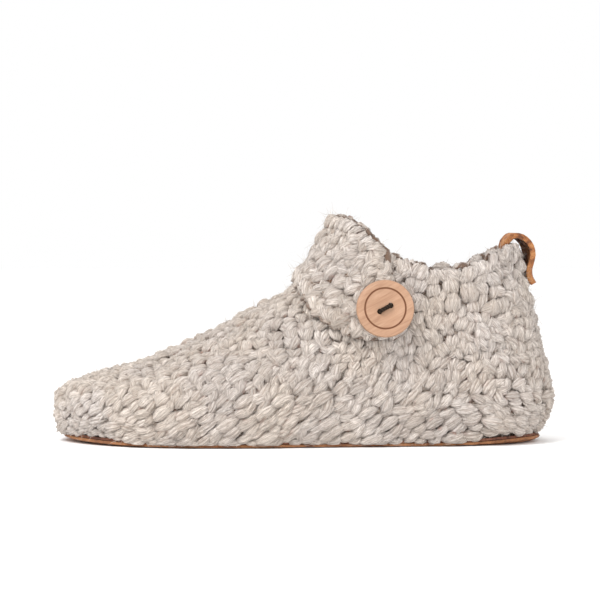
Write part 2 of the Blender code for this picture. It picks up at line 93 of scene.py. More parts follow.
Section = namedtuple("Section", "front back front_z back_z nose ball waist heel dip")
SECTIONS = [
    Section(0.006, 0.988, 0.093, 0.098, 0.210, 0.970, 0.957, 0.961, 0.00),
    Section(0.000, 0.997, 0.155, 0.160, 0.216, 1.000, 0.993, 0.992, 0.00),
    Section(0.004, 1.000, 0.227, 0.232, 0.224, 0.996, 1.000, 1.000, 0.00),
    Section(0.022, 0.995, 0.289, 0.304, 0.248, 0.966, 0.986, 0.994, 0.00),
    Section(0.070, 0.989, 0.336, 0.376, 0.288, 0.930, 0.967, 0.983, 0.00),
    Section(0.166, 0.983, 0.405, 0.459, 0.336, 0.890, 0.945, 0.972, 0.00),
    Section(0.278, 0.974, 0.522, 0.552, 0.336, 0.850, 0.923, 0.961, 0.00),
    Section(0.380, 0.964, 0.658, 0.655, 0.280, 0.800, 0.900, 0.949, 0.08),
    Section(0.465, 0.954, 0.769, 0.768, 0.216, 0.760, 0.876, 0.941, 0.30),
    Section(0.526, 0.945, 0.913, 0.881, 0.184, 0.740, 0.861, 0.941, 0.62),
    Section(0.575, 0.936, 1.142, 1.000, 0.168, 0.730, 0.861, 0.949, 1.00),
]
DIPS = [
    (0.00, 0.00),
    (0.08, 0.02),
    (0.14, 0.20),
    (0.22, 0.55),
    (0.34, 0.86),
    (0.51, 1.00),
    (0.69, 0.75),
    (0.81, 0.48),
    (0.92, 0.15),
    (1.00, 0.00),
]
SWINGS = [
    (0.00, TOE_SWING),
    (0.14, TOE_SWING / 2),
    (0.32, 0.0),
    (0.60, -ARCH_SHIFT),
    (0.87, 0.0),
]
Flap = namedtuple("Flap", "low_share high_share low high lift")
FLAPS = [
    Flap(FLAP_ROOT_SHARE, FLAP_ROOT_SHARE, THROAT_LEVEL, TOP_LEVEL, 0.0),
    Flap(0.6150, 0.617, THROAT_LEVEL + 0.25, TOP_LEVEL, 0.6),
    Flap(0.5900, 0.595, THROAT_LEVEL - 0.05, TOP_LEVEL, 1.0),
    Flap(0.5500, 0.560, 8.45, TOP_LEVEL, 1.0),
    Flap(0.5000, 0.515, 8.38, TOP_LEVEL, 1.0),
    Flap(0.4500, 0.475, 8.15, TOP_LEVEL, 1.0),
    Flap(0.4000, 0.440, 7.62, TOP_LEVEL, 1.0),
    Flap(0.3500, 0.410, 6.95, TOP_LEVEL, 1.0),
    Flap(0.3000, 0.385, 6.38, TOP_LEVEL, 1.0),
    Flap(0.2600, 0.365, 6.05, TOP_LEVEL, 1.0),
    Flap(0.2225, 0.345, 5.98, TOP_LEVEL, 1.0),
]

# The wool's hem, below the lowest section: how far it tucks in and drops, by level
HEM_LEVELS = [0.0, 1.0, 2.0]
HEM_TUCK = [0.0, 0.0024, 0.0038]
HEM_DROP = [0.0, 0.0032, 0.0052]


def smooth(stations, values, at):
    """A cubic through a table's rows that never overshoots them."""
    stations = np.asarray(stations, float)
    values = np.asarray(values, float)
    steps = np.diff(stations)
    slopes = np.diff(values) / steps
    tangents = np.concatenate([slopes[:1], np.zeros(len(slopes) - 1), slopes[-1:]])
    same_way = slopes[:-1] * slopes[1:] > 0
    before = 2 * steps[1:] + steps[:-1]
    after = steps[1:] + 2 * steps[:-1]
    safe_low = np.where(same_way, slopes[:-1], 1.0)
    safe_high = np.where(same_way, slopes[1:], 1.0)
    harmonic = (before + after) / (before / safe_low + after / safe_high)
    tangents[1:-1] = np.where(same_way, harmonic, 0.0)
    at = np.clip(at, stations[0], stations[-1])
    row = np.clip(np.searchsorted(stations, at, side="right") - 1, 0, len(steps) - 1)
    step = steps[row]
    t = (at - stations[row]) / step
    return (
        values[row] * (1 + 2 * t) * (1 - t) ** 2
        + values[row + 1] * t**2 * (3 - 2 * t)
        + tangents[row] * step * t * (1 - t) ** 2
        - tangents[row + 1] * step * t**2 * (1 - t)
    )


def outline(front, back, nose, halves, shares):
    """Points seen from above of a foot-shaped ring; a share of 0 is the middle of the heel."""
    turn = np.linspace(0, math.pi / 2, 60)
    heel_x = back - HEEL_ROUND * (1 - np.cos(turn))
    toe_x = (front + nose * (1 - np.cos(turn)))[::-1]
    side_x = np.linspace(heel_x[-1], toe_x[0], 60)[1:-1]
    x = np.concatenate([heel_x, side_x, toe_x])
    cap = np.concatenate([np.sin(turn), np.ones(len(side_x)), np.sin(turn)[::-1]])
    ball, waist, heel = halves
    half = cap * smooth(STATIONS, [TOE_TAPER * ball, ball, waist, heel], (x - TOE_X) / LENGTH)
    points = np.zeros((len(shares), 2))
    for side, way in ((-1, shares <= 0.5), (1, shares > 0.5)):
        y = smooth(*zip(*SWINGS), (x - TOE_X) / LENGTH) + side * half
        run = np.concatenate([[0], np.cumsum(np.hypot(np.diff(x), np.diff(y)))])
        walked = 2 * np.where(side < 0, shares[way], 1 - shares[way]) * run[-1]
        points[way, 0] = np.interp(walked, run, x)
        points[way, 1] = np.interp(walked, run, y)
    return points


def wool_ring(level, shares):
    rows = np.arange(len(SECTIONS))
    s = Section(*[float(smooth(rows, column, level)) for column in zip(*SECTIONS)])
    front = TOE_X + s.front * LENGTH
    back = TOE_X + s.back * LENGTH
    halves = [s.ball * BALL_WIDTH / 2, s.waist * WAIST_WIDTH / 2, s.heel * HEEL_WIDTH / 2]
    flat = outline(front, back, s.nose * LENGTH, halves, shares)
    along = (flat[:, 0] - front) / (back - front)
    z = HEEL_HEIGHT * (s.front_z + (s.back_z - s.front_z) * along)
    z = z - COLLAR_DIP * s.dip * smooth(*zip(*DIPS), along)
    return np.column_stack([flat, z])


def unit(vectors):
    return vectors / np.maximum(np.linalg.norm(vectors, axis=-1, keepdims=True), 1e-12)


def lengths_along(points):
    """How far along a row of points each of them lies."""
    return np.concatenate([[0], np.cumsum(np.linalg.norm(np.diff(points, axis=0), axis=1))])


def pairs(a, b):
    """All pairs of two rows of values, as two flat arrays."""
    return [grid.ravel() for grid in np.meshgrid(a, b)]


def tube_faces(rings, sides):
    """The four corners of each face along a tube, ring by ring."""
    k, r = pairs(np.arange(sides), np.arange(rings - 1))
    beside = (k + 1) % sides
    return np.stack([r * sides + k, r * sides + beside,
                     (r + 1) * sides + beside, (r + 1) * sides + k], axis=-1)


class Sheet:
    """A sheet of wool sampled on a grid: a runs to the right seen from outside, b runs up."""

    def __init__(self, a, b, points, closed):
        self.a, self.b, self.closed = a, b, closed
        self.points = points
        self.settle = None
        step_a, step_b = a[1] - a[0], b[1] - b[0]
        if closed:
            around = np.concatenate([points[:, -1:], points, points[:, :1]], axis=1)
            self.along = (around[:, 2:] - around[:, :-2]) / (2 * step_a)
        else:
            self.along = np.gradient(points, step_a, axis=1)
        self.up = np.gradient(points, step_b, axis=0)
        self.normal = unit(np.cross(self.along, self.up))

    def sample(self, field, a, b):
        rows, columns = field.shape[:2]
        i = (np.asarray(b) - self.b[0]) / (self.b[1] - self.b[0])
        i = np.clip(i, 0, rows - 1.0001)
        j = (np.asarray(a) - self.a[0]) / (self.a[1] - self.a[0])
        j = j % columns if self.closed else np.clip(j, 0, columns - 1.0001)
        low_i, low_j = np.floor(i).astype(int), np.floor(j).astype(int)
        low_j = low_j % columns
        high_j = (low_j + 1) % columns
        fi, fj = (i - np.floor(i))[..., None], (j - np.floor(j))[..., None]
        low = field[low_i, low_j] * (1 - fj) + field[low_i, high_j] * fj
        high = field[low_i + 1, low_j] * (1 - fj) + field[low_i + 1, high_j] * fj
        return low * (1 - fi) + high * fi

    def place(self, a, b):
        return self.sample(self.points, a, b)

    def facing(self, a, b):
        return unit(self.sample(self.normal, a, b))

    def moved(self, a, b, right, up):
        """The sheet coordinates of places that lie right and up of others, in metres."""
        half_a, half_b = self.stepped(a, b, a, b, right / 2, up / 2)
        return self.stepped(a, b, half_a, half_b, right, up)

    def stepped(self, a, b, at_a, at_b, right, up):
        """Steps off from (a, b), by the sheet's slopes at (at_a, at_b)."""
        along = self.sample(self.along, at_a, at_b)
        rise = self.sample(self.up, at_a, at_b)
        normal = self.facing(at_a, at_b)
        right_way = unit(along)
        up_way = np.cross(normal, right_way)
        climb = np.sum(rise * up_way, axis=-1)
        climb = np.where(np.abs(climb) < 1e-4, 1e-4, climb)
        reach = 0.16 * (self.b[-1] - self.b[0])
        step_b = np.clip(up / climb, -reach, reach)
        drift = np.sum(rise * right_way, axis=-1)
        step_a = (right - step_b * drift) / np.linalg.norm(along, axis=-1)
        return a + step_a, b + step_b


def body_sheet():
    columns = 512
    a = np.arange(columns) / columns
    shares = (1 - a) % 1.0
    b = np.linspace(-2, TOP_LEVEL, 121)
    rings = []
    base = wool_ring(0.0, shares)
    ahead = np.roll(base, -1, axis=0) - np.roll(base, 1, axis=0)
    outward = unit(np.column_stack([ahead[:, 1], -ahead[:, 0], np.zeros(columns)]))
    for level in b:
        if level >= 0:
            rings.append(wool_ring(level, shares))
        else:
            tuck = np.interp(-level, HEM_LEVELS, HEM_TUCK)
            drop = np.interp(-level, HEM_LEVELS, HEM_DROP)
            rings.append(base - tuck * outward - [0, 0, drop])
    points = np.array(rings)
    points[..., 1] += cad_high.y - points[..., 1].max()
    return Sheet(a, b, points, True)


def flap_sheet(body):
    table = Flap(*zip(*FLAPS[::-1]))
    a = np.linspace(0, 1, 121)
    b = np.linspace(0, 1, 41)
    columns = []
    for place in FLAP_ROOT_SHARE + (FLAP_END_SHARE - FLAP_ROOT_SHARE) * a:
        at = Flap(*[float(smooth(table.low_share, column, place)) for column in table])
        shares = at.low_share + (at.high_share - at.low_share) * b**FLAP_BOW
        levels = at.low + (at.high - at.low) * b
        lift = at.lift * (WALL + FLAP_CLEARANCE)
        columns.append(body.place(1 - shares, levels) + lift * body.facing(1 - shares, levels))
    return Sheet(a, b, np.array(columns).transpose(1, 0, 2), False)


def inner_sheet(sheet):
    """The other face of a sheet, seen from inside, with a still running to the viewer's right."""
    points = (sheet.points - WALL * sheet.normal)[:, ::-1]
    return Sheet(sheet.a, sheet.b, points, sheet.closed)


# Yarn

RINGS = np.array([0.0, 0.08, 0.22, 0.40, 0.60, 0.78, 0.92, 1.0])
TOP_ANGLES = np.radians(np.linspace(-30, 210, 11))
LOW_ANGLES = np.radians([250, 290])
ANGLES = np.concatenate([TOP_ANGLES, LOW_ANGLES])
RIDGES = np.array([0.90, 1.04, 0.84, 1.07, 0.83, 1.09, 0.83, 1.07, 0.84, 1.04, 0.90, 0.95, 0.95])
# Painted shade in the valleys between a strand's ridges: 1 darkens a valley, 0 leaves a ridge its
# colour
VALLEY_SHADE = np.array([0.5, 0.0, 1.0, 0.0, 1.0, 0.0, 1.0, 0.0, 1.0, 0.0, 0.5, 0.2, 0.2])
LOWEST_WOOL = 0.0017
TAPER = 0.24


class Yarn:
    """Collects plump strands of yarn and turns them into one mesh."""

    def __init__(self):
        self.parts = []
        self.centres, self.radii = [], []

    def add(self, centres, normals, width, height, tone, low=0.0, fine=True):
        """Strands along rows of centres (n, rings, 3); width and height are (n,)."""
        n, rings = centres.shape[:2]
        if n == 0:
            return
        angles = ANGLES if fine else np.radians(np.linspace(-90, 210, 6))
        ridges = RIDGES if fine else np.ones(6)
        sides = len(angles)
        t = np.linspace(0, 1, rings) if rings != len(RINGS) else RINGS
        tangent = unit(np.gradient(centres, axis=1))
        normal = normals - np.sum(normals * tangent, axis=-1, keepdims=True) * tangent
        normal = unit(normal)
        side = np.cross(tangent, normal)
        bulge = TAPER + (1 - TAPER) * np.sin(np.pi * np.clip(t, 0.02, 0.98)) ** 0.80
        bulge = bulge * np.where((t < 0.01) | (t > 0.99), 0.55, 1.0)
        turn = rng.uniform(-0.5, 0.5, n)[:, None] + rng.uniform(0.3, 0.9, n)[:, None] * (t - 0.5)
        angle = angles[None, None, :] + turn[:, :, None] * (0.6 if fine else 0)
        wobble = 1 + 0.05 * rng.standard_normal((n, rings, sides))
        depth = rng.uniform(0.5, 1.35, n)[:, None, None]
        lobes = (1 + (ridges[None, None, :] - 1) * depth) * wobble
        lobes = 1 + (lobes - 1) * np.where((t < 0.05) | (t > 0.95), 0.4, 1.0)[None, :, None]
        wide = (width[:, None] / 2 * bulge[None, :])[:, :, None] * lobes * np.cos(angle)
        tall = (height[:, None] / 2 * bulge[None, :])[:, :, None] * lobes * np.sin(angle)
        ring = centres[:, :, None] + side[:, :, None] * wide[..., None]
        ring = ring + normal[:, :, None] * tall[..., None]
        first = centres[:, 0] - tangent[:, 0] * height[:, None] * 0.12
        last = centres[:, -1] + tangent[:, -1] * height[:, None] * 0.12
        points = np.concatenate([ring.reshape(n, -1, 3), first[:, None], last[:, None]], axis=1)
        below = LOWEST_WOOL - points[..., 2]
        points[..., 2] += np.where(below > 0, 0.8 * below, 0)
        per = rings * sides + 2
        k, r = pairs(np.arange(sides), np.arange(rings - 1))
        quad = tube_faces(rings, sides)
        spoke = np.arange(sides)
        head = np.stack([(spoke + 1) % sides, spoke, np.full(sides, rings * sides)], axis=-1)
        tail_row = (rings - 1) * sides
        tail = np.stack([tail_row + spoke, tail_row + (spoke + 1) % sides,
                         np.full(sides, rings * sides + 1)], axis=-1)
        length = np.linalg.norm(np.diff(centres, axis=1), axis=-1).sum(axis=1)
        # Texture coordinates run along the strand and round it, in millimetres
        shift = rng.uniform(0, 50, (n, 2))
        turns = np.pi * (width + height) / 2 / MM

        def wrapped(u, v):
            return np.stack([
                u[None] * (length / MM)[:, None, None] + shift[:, 0, None, None],
                v[None] * turns[:, None, None] + shift[:, 1, None, None],
            ], axis=-1)

        uv_quad = wrapped(np.stack([t[r], t[r], t[r + 1], t[r + 1]], axis=-1),
                          np.stack([k, k + 1, k + 1, k], axis=-1) / sides)
        v_head = np.stack([spoke + 1, spoke, spoke + 0.5], axis=-1) / sides
        v_tail = np.stack([spoke, spoke + 1, spoke + 0.5], axis=-1) / sides
        uv_head = wrapped(np.zeros_like(v_head), v_head)
        uv_tail = wrapped(np.ones_like(v_tail), v_tail)
        # Painted shade: sunk is highest on a strand's underside and at its thin ends, where it
        # dips into the gaps; low adds to it for whole strands that lie deeper, and the next rows
        # darken the valleys between the ridges
        sunk = np.clip(0.5 - np.sin(angle) * 0.55 + 0.45 * (1 - bulge)[None, :, None], 0, 1)
        sunk = np.concatenate([sunk.reshape(n, -1), np.ones((n, 2))], axis=1)
        sunk = np.clip(sunk + low, 0, 1)
        groove_shade = np.tile(VALLEY_SHADE if fine else np.zeros(sides), rings)
        groove_shade = np.concatenate([groove_shade, [0.3, 0.3]])[None] * rng.uniform(0.35, 1.0, n)[:, None]
        paint = np.stack([
            np.repeat(tone[:, None], per, axis=1),
            sunk,
            groove_shade,
            np.ones((n, per)),
        ], axis=-1)
        if fine:
            self.centres.append(centres[:, 1:-1].reshape(-1, 3))
            self.radii.append((width[:, None] / 2 * bulge[None, 1:-1]).reshape(-1))
        roots = ring[:, 1:-1, 1:10] if fine else None
        ways = unit(ring - centres[:, :, None])[:, 1:-1, 1:10] if fine else None
        flows = np.repeat(tangent[:, 1:-1, None], 9, axis=2) if fine else None
        self.parts.append(dict(points=points, quad=quad, head=head, tail=tail, per=per,
                               uv=(uv_quad, uv_head, uv_tail), paint=paint,
                               roots=roots, ways=ways, flows=flows))

    def build(self, name, material):
        points, loops, starts, totals, uvs, paints = [], [], [], [], [], []
        offset, loop_at = 0, 0
        for part in self.parts:
            n, per = part["points"].shape[0], part["per"]
            base = offset + np.arange(n)[:, None, None] * per
            points.append(part["points"].reshape(-1, 3))
            paints.append(part["paint"].reshape(-1, 4))
            for faces, uv in zip(("quad", "head", "tail"), part["uv"]):
                grid = (part[faces][None] + base)
                loops.append(grid.reshape(-1))
                size = grid.shape[-1]
                count = grid.shape[0] * grid.shape[1]
                starts.append(loop_at + np.arange(count) * size)
                totals.append(np.full(count, size))
                loop_at += count * size
                uvs.append(uv.reshape(-1, 2))
            offset += n * per
        fields = (points, loops, starts, totals, uvs, paints)
        return mesh_object(name, material, *(np.concatenate(field) for field in fields))


def new_object(name, mesh, material):
    """A smooth object in the scene, of one material."""
    mesh.shade_smooth()
    mesh.materials.append(material)
    made = bpy.data.objects.new(name, mesh)
    bpy.context.scene.collection.objects.link(made)
    return made


def mesh_object(name, material, points, loops, starts, totals, uvs=None, paints=None):
    mesh = bpy.data.meshes.new(name)
    mesh.vertices.add(len(points))
    mesh.vertices.foreach_set("co", points.astype(np.float32).ravel())
    mesh.loops.add(len(loops))
    mesh.loops.foreach_set("vertex_index", loops.astype(np.int32))
    mesh.polygons.add(len(starts))
    mesh.polygons.foreach_set("loop_start", starts.astype(np.int32))
    mesh.polygons.foreach_set("loop_total", totals.astype(np.int32))
    mesh.update(calc_edges=True)
    mesh.validate()
    if uvs is not None:
        layer = mesh.uv_layers.new(name="UVMap")
        layer.data.foreach_set("uv", uvs.astype(np.float32).ravel())
    if paints is not None:
        layer = mesh.color_attributes.new("yarn", "FLOAT_COLOR", "POINT")
        layer.data.foreach_set("color", paints.astype(np.float32).ravel())
    made = new_object(name, mesh, material)
    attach(made, "root")
    return made


def ease(x, low, high):
    t = np.clip((x - low) / (high - low), 0, 1)
    return t * t * (3 - 2 * t)


# Stitches

STRAND_LIFT = -0.0015
END_DIP = 0.0016
EDGE_INSET = 0.0024
FLAP_SETTLE = 0.0008
FLAP_FRONT_SETTLE = 0.0010
BASE_SPACING = 0.0068
ROW_SPACING = 0.0066
BARE_REACH = 0.0060
BARE_ROOM = 0.0050
BASE_DEPTH = 0.0015
BASE_WIDTH = 0.0058
BASE_HEIGHT = 0.0030
BASE_LENGTH = 0.0088
FILL_DEPTH = 0.0005
FILL_LENGTH = 0.0094
INSIDE_SPREAD = 1.35


def settle_low_wool(centres, normals, levels):
    """The lowest strands bulge out and sag over the sole's edge, most along the middle."""
    x, z = centres[..., 0], centres[..., 2]
    low = 1 - ease(z, 0.0045, 0.0125)
    middle = ease(x, -0.100, -0.070) * (1 - ease(x, 0.072, 0.100))
    toe = 1 - ease(x, -0.120, -0.098)
    heel = ease(x, 0.100, 0.120)
    flat = unit(normals * np.array([1, 1, 0]))
    out = low * (0.0020 * middle + 0.0024 * toe + 0.0004 * heel)
    down = low * (0.0026 * middle - (0.0011 + 0.0009 * ease(x, 0.06, 0.09)) * (1 - middle))
    return centres + flat * out[..., None] - np.array([0, 0, 1]) * down[..., None]


def settle_flap(centres, normals, levels):
    """The flap's low edge and its front lie close to the foot."""
    ahead = ease(-normals[..., 0], 0.15, 0.50)
    sunk = FLAP_SETTLE * (1 - ease(levels, 0.0, 0.30)) + FLAP_FRONT_SETTLE * ahead
    return centres - normals * sunk[..., None]


def lay(yarn, sheet, a, b, x, y, lean, length, width, height, lift, tone, low=0.0,
        fine=True, bow=0.0, dip=END_DIP):
    """Lays leaning strands on a sheet, their middles x right and y up of (a, b), in metres."""
    t = (RINGS if fine else np.linspace(0, 1, 5))[None, :]
    half_x, half_y = np.cos(lean) * length / 2, np.sin(lean) * length / 2
    from_x, to_x, from_y, to_y = x - half_x, x + half_x, y - half_y, y + half_y
    right = from_x[:, None] * (1 - t) + to_x[:, None] * t
    up = from_y[:, None] * (1 - t) + to_y[:, None] * t
    run = np.hypot(to_x - from_x, to_y - from_y)[:, None]
    arch = (bow * np.ones(len(a)))[:, None] * 4 * t * (1 - t)
    right = right - arch * (to_y - from_y)[:, None] / run
    up = up + arch * (to_x - from_x)[:, None] / run
    at_a, at_b = sheet.moved(a[:, None] + 0 * right, b[:, None] + 0 * right, right, up)
    normal = sheet.facing(at_a, at_b)
    sink = dip * np.abs(2 * t - 1) ** 2.6
    centres = sheet.place(at_a, at_b) + normal * (lift[:, None] - sink)[..., None]
    if sheet.settle:
        centres = sheet.settle(centres, normal, at_b)
    yarn.add(centres, normal, width, height, tone, low, fine)


def row_places(sheet, b, pitch, phase):
    """Places along a row, a pitch apart; b and pitch are arrays over the row's fine a."""
    fine_a = np.linspace(0, 1, len(b))
    points = sheet.place(fine_a, b)
    run = lengths_along(points)
    middle = (pitch[1:] + pitch[:-1]) / 2
    count = np.concatenate([[0], np.cumsum(np.diff(run) / middle)])
    total = max(int(round(count[-1])), 1)
    count = count * total / count[-1]
    wanted = np.arange(total) + phase
    wanted = wanted + rng.uniform(-0.10, 0.10, total)
    return np.interp(wanted, count, fine_a)


def stitch_style(place, flap=False):
    """Pitch, main lean, length and width of the stitches, by the place on the slipper."""
    x, z = place[:, 0], place[:, 2]
    high = ease(z, 0.016, 0.050) * (0 if flap else 1) + (1 if flap else 0)
    toe = ease(-x, 0.050, 0.100)
    heel = ease(x, 0.070, 0.100)
    upright = ease(x, 0.022, 0.045) * ease(z, 0.026, 0.040) * (0 if flap else 1)
    lean = np.radians(22 + 14 * ease(z, 0.010, 0.030) + 26 * ease(z, 0.030, 0.055))
    lean = lean * (1 - 1.9 * ease(x, 0.074, 0.088) * (1 - ease(z, 0.022, 0.036)))
    lean = lean * (1 - 0.5 * toe * (1 - ease(z, 0.010, 0.022)))
    lean = lean + (1.5 - lean) * upright
    length = 0.0124 - 0.0050 * high - 0.0024 * toe * (0.6 + 0.4 * ease(z, 0.010, 0.02))
    length = length - 0.0026 * heel * (1 - high)
    width = 0.0061 - 0.0009 * high - 0.0007 * toe * (1 - high)
    pitch = 0.0100 - 0.0022 * high - 0.0010 * toe * (1 - high) - 0.0016 * heel * (1 - high)
    length = length + 0.0010 * upright + (0.0014 if flap else 0)
    width = width + 0.0007 * upright + (0.0005 if flap else 0)
    return pitch, lean, length, width, high, heel, upright


def stitch_rows(yarn, sheet, rows, inside=False, keep=None, lower=None):
    """Rows of stitches between bands of the sheet, with extra rows where the bands spread."""
    samples = 1500
    fine_a = np.linspace(0, 1, samples)
    spacing_wanted = ROW_SPACING * (INSIDE_SPREAD if inside else 1.0)
    parity = 0
    for low, high in zip(rows, [*rows[1:], rows[-1]]):
        steps = np.linspace(0, 1, 6)
        band = np.array([sheet.place(fine_a, low + (high - low) * s) for s in steps])
        gap = np.linalg.norm(np.diff(band, axis=0), axis=2).sum(axis=0)
        counts = np.clip(np.round(gap / spacing_wanted), 1, 8).astype(int)
        for m in range(1, counts.max() + 1):
            for j in range(m):
                if j == 0 and m > 1:
                    continue
                level = low + (high - low) * j / m
                b = np.full(samples, level)
                place = band[0] if j == 0 else sheet.place(fine_a, b)
                pitch = stitch_style(place, not sheet.closed)[0] * (1.15 if inside else 1.0)
                parity += 1
                spots = row_places(sheet, b, pitch, 0.5 * (parity % 2))
                at = np.clip(np.searchsorted(fine_a, spots), 0, samples - 1)
                fits = (counts[at] == m) if j > 0 else np.ones(len(spots), bool)
                gap_here = gap[at] / np.maximum(counts[at], 1) if high > low else (
                    np.full(len(spots), spacing_wanted))
                spots, gap_here = spots[fits], gap_here[fits]
                levels = np.full(len(spots), level)
                if keep is not None:
                    kept = keep(spots, levels)
                    spots, gap_here, levels = spots[kept], gap_here[kept], levels[kept]
                if len(spots):
                    stitches(yarn, sheet, spots, levels, gap_here, inside, lower)


def stitches(yarn, sheet, a, b, spacing, inside, lower):
    """One crochet stitch at each place: a main leg, and a second leg behind it."""
    place = sheet.place(a, b)
    pitch, lean, length, width, high, heel, upright = stitch_style(place, not sheet.closed)
    n = len(a)
    snug = np.clip(spacing / ROW_SPACING, 0.62, 1.3)
    size = (0.5 + 0.5 * snug) * rng.uniform(0.84, 1.20, n)
    knotty = heel * ease(place[:, 2], 0.01, 0.03)
    loose = 0.12 + 0.18 * high + 0.14 * upright
    lean_1 = lean + rng.normal(0, 1, n) * loose + knotty * rng.normal(0.3, 0.5, n)
    lean_2 = (lean + 0.25) * (1 - high) + (math.pi - lean) * high
    lean_2 = lean_2 + (1.72 - lean_2) * upright
    lean_2 = lean_2 + rng.normal(0, 1, n) * loose + knotty * rng.normal(-0.2, 0.5, n)
    lift = np.full(n, STRAND_LIFT) + rng.normal(0, 0.00045, n)
    plump = 0.86
    if inside:
        # These must not reach through the wall
        lift, plump = lift + 0.0014, 0.68
    if lower is not None:
        lift = lift - lower(place)
    x, _, z = place.T
    # Painted shade: strands on the vamp get a lower tone, so they come out darker, as the deeper
    # shade between its stitches; the flap's strands are also darker and the toe's lighter
    vamp_shade = ease(-x, -0.010, 0.020) * ease(z, 0.020, 0.040)
    tone = rng.normal(0.5, 0.17, n) - 0.40 * vamp_shade - (0 if sheet.closed else 0.34)
    tone = tone + 0.20 * ease(-x, 0.050, 0.080)
    jitter_x = rng.normal(0, 0.00060, n) * (1 + 0.6 * high)
    jitter_y = rng.normal(0, 0.00055, n) * (1 + 0.6 * high)
    jitter_y = jitter_y + 0.16 * spacing * upright * np.where(np.arange(n) % 2 == 0, 1, -1)
    right = 0.20 * pitch * high + jitter_x
    up = 0.10 * spacing * (1 - high) + jitter_y
    lay(yarn, sheet, a, b, right, up, lean_1, length * size, width * size,
        width * size * plump, lift, tone, fine=not inside, bow=rng.normal(0.0004, 0.0003, n))
    right = 0.30 * pitch * (1 - high) - 0.24 * pitch * high + jitter_x
    up = -0.34 * spacing * (1 - high) + 0.02 * spacing * high + jitter_y
    lay(yarn, sheet, a, b, right, up, lean_2, length * size * (0.82 + 0.16 * high),
        width * size * 0.92, width * size * 0.93 * plump, lift - 0.0003,
        tone + rng.normal(0, 0.08, n), fine=not inside, bow=rng.normal(-0.0004, 0.0003, n))


def base_layer(yarn, sheet, rows, keep=None, lower=None):
    """Plain strands that lie behind the stitches, so that no gap is deeper than the wool."""
    samples = 900
    fine_a = np.linspace(0, 1, samples)
    pitch = np.full(samples, BASE_SPACING)
    for low, high in zip(rows, [*rows[1:], rows[-1]]):
        run = np.linalg.norm(sheet.place(fine_a, fine_a * 0 + high)
                             - sheet.place(fine_a, fine_a * 0 + low), axis=1)
        counts = np.clip(np.ceil(run / BASE_SPACING), 1, 8).astype(int)
        for m in range(1, counts.max() + 1):
            for j in range(m):
                level = low + (high - low) * j / m
                spots = row_places(sheet, np.full(samples, level), pitch, 0.5)
                at = np.clip(np.searchsorted(fine_a, spots), 0, samples - 1)
                levels = np.full(len(spots), level)
                fits = counts[at] == m
                if keep is not None:
                    fits &= keep(spots, levels)
                a, b = spots[fits], levels[fits]
                n = len(a)
                if n == 0:
                    continue
                lift = np.full(n, STRAND_LIFT - BASE_DEPTH)
                if lower is not None:
                    lift = lift - lower(sheet.place(a, b))
                # Painted shade: these strands get a low tone and a raised sunk value, so they come
                # out dark, as the shade behind the stitches
                lay(yarn, sheet, a, b, 0, 0, rng.normal(0.5, 0.7, n), BASE_LENGTH,
                    np.full(n, BASE_WIDTH), np.full(n, BASE_HEIGHT), lift,
                    rng.normal(0.10, 0.12, n), low=0.48, fine=False, dip=0.0010)


def bare_places(yarns, sheet, a, b, limit=0.0003):
    """Those of the places that no strand covers, barest first, a strand's room apart."""
    centres = np.concatenate([c for yarn in yarns for c in yarn.centres])
    radii = np.concatenate([r for yarn in yarns for r in yarn.radii])
    tree = KDTree(len(centres))
    for index, centre in enumerate(centres):
        tree.insert(centre, index)
    tree.balance()
    normal = sheet.facing(a, b)
    spots = sheet.settle(sheet.place(a, b) + normal * STRAND_LIFT, normal, b)
    bare = np.full(len(a), BARE_REACH)
    for k, spot in enumerate(spots):
        for _, index, away in tree.find_range(spot, BARE_REACH):
            bare[k] = min(bare[k], away - radii[index])
    chosen = []
    for k in np.argsort(-bare, kind="stable"):
        if bare[k] < limit:
            break
        if all(np.sum((spots[k] - spots[c])**2) > BARE_ROOM**2 for c in chosen):
            chosen.append(k)
    return a[chosen], b[chosen]


def fill_strands(yarn, sheet, a, b, lower):
    """One strand at each place that the rows of stitches left bare."""
    place = sheet.place(a, b)
    _, lean, _, width, high, _, upright = stitch_style(place, not sheet.closed)
    n = len(a)
    lean = lean + (0.9 - lean) * 0.4 * high + rng.normal(0, 0.35, n)
    length = FILL_LENGTH * rng.uniform(0.9, 1.15, n)
    lift = np.full(n, STRAND_LIFT - FILL_DEPTH) - lower(place)
    lay(yarn, sheet, a, b, 0, 0, lean, length, width, width * 0.84, lift,
        rng.normal(0.5, 0.17, n))


def even_rows(sheet, a, low, high, spacing):
    """Levels of rows that are evenly spaced along one column of the sheet."""
    fine = np.linspace(low, high, 400)
    points = sheet.place(np.full(400, a), fine)
    run = lengths_along(points)
    count = max(int(round(run[-1] / spacing)), 1)
    return np.interp(np.linspace(0, run[-1], count + 1), run, fine)


def under_flap(share, level):
    """Whether a place of the foot is hidden by the flap."""
    table = Flap(*zip(*FLAPS[::-1]))
    low = smooth(table.low_share, table.low, np.clip(share, FLAP_END_SHARE, FLAP_ROOT_SHARE))
    rise = np.clip((level - FLAPS[-1].low) / (TOP_LEVEL - FLAPS[-1].low), 0, 1)
    end = FLAP_END_SHARE + (FLAPS[-1].high_share - FLAP_END_SHARE) * rise**FLAP_BOW
    inside = (share > end + 0.012) & (share < FLAP_ROOT_SHARE - 0.01)
    return inside & (level > low + 0.85)


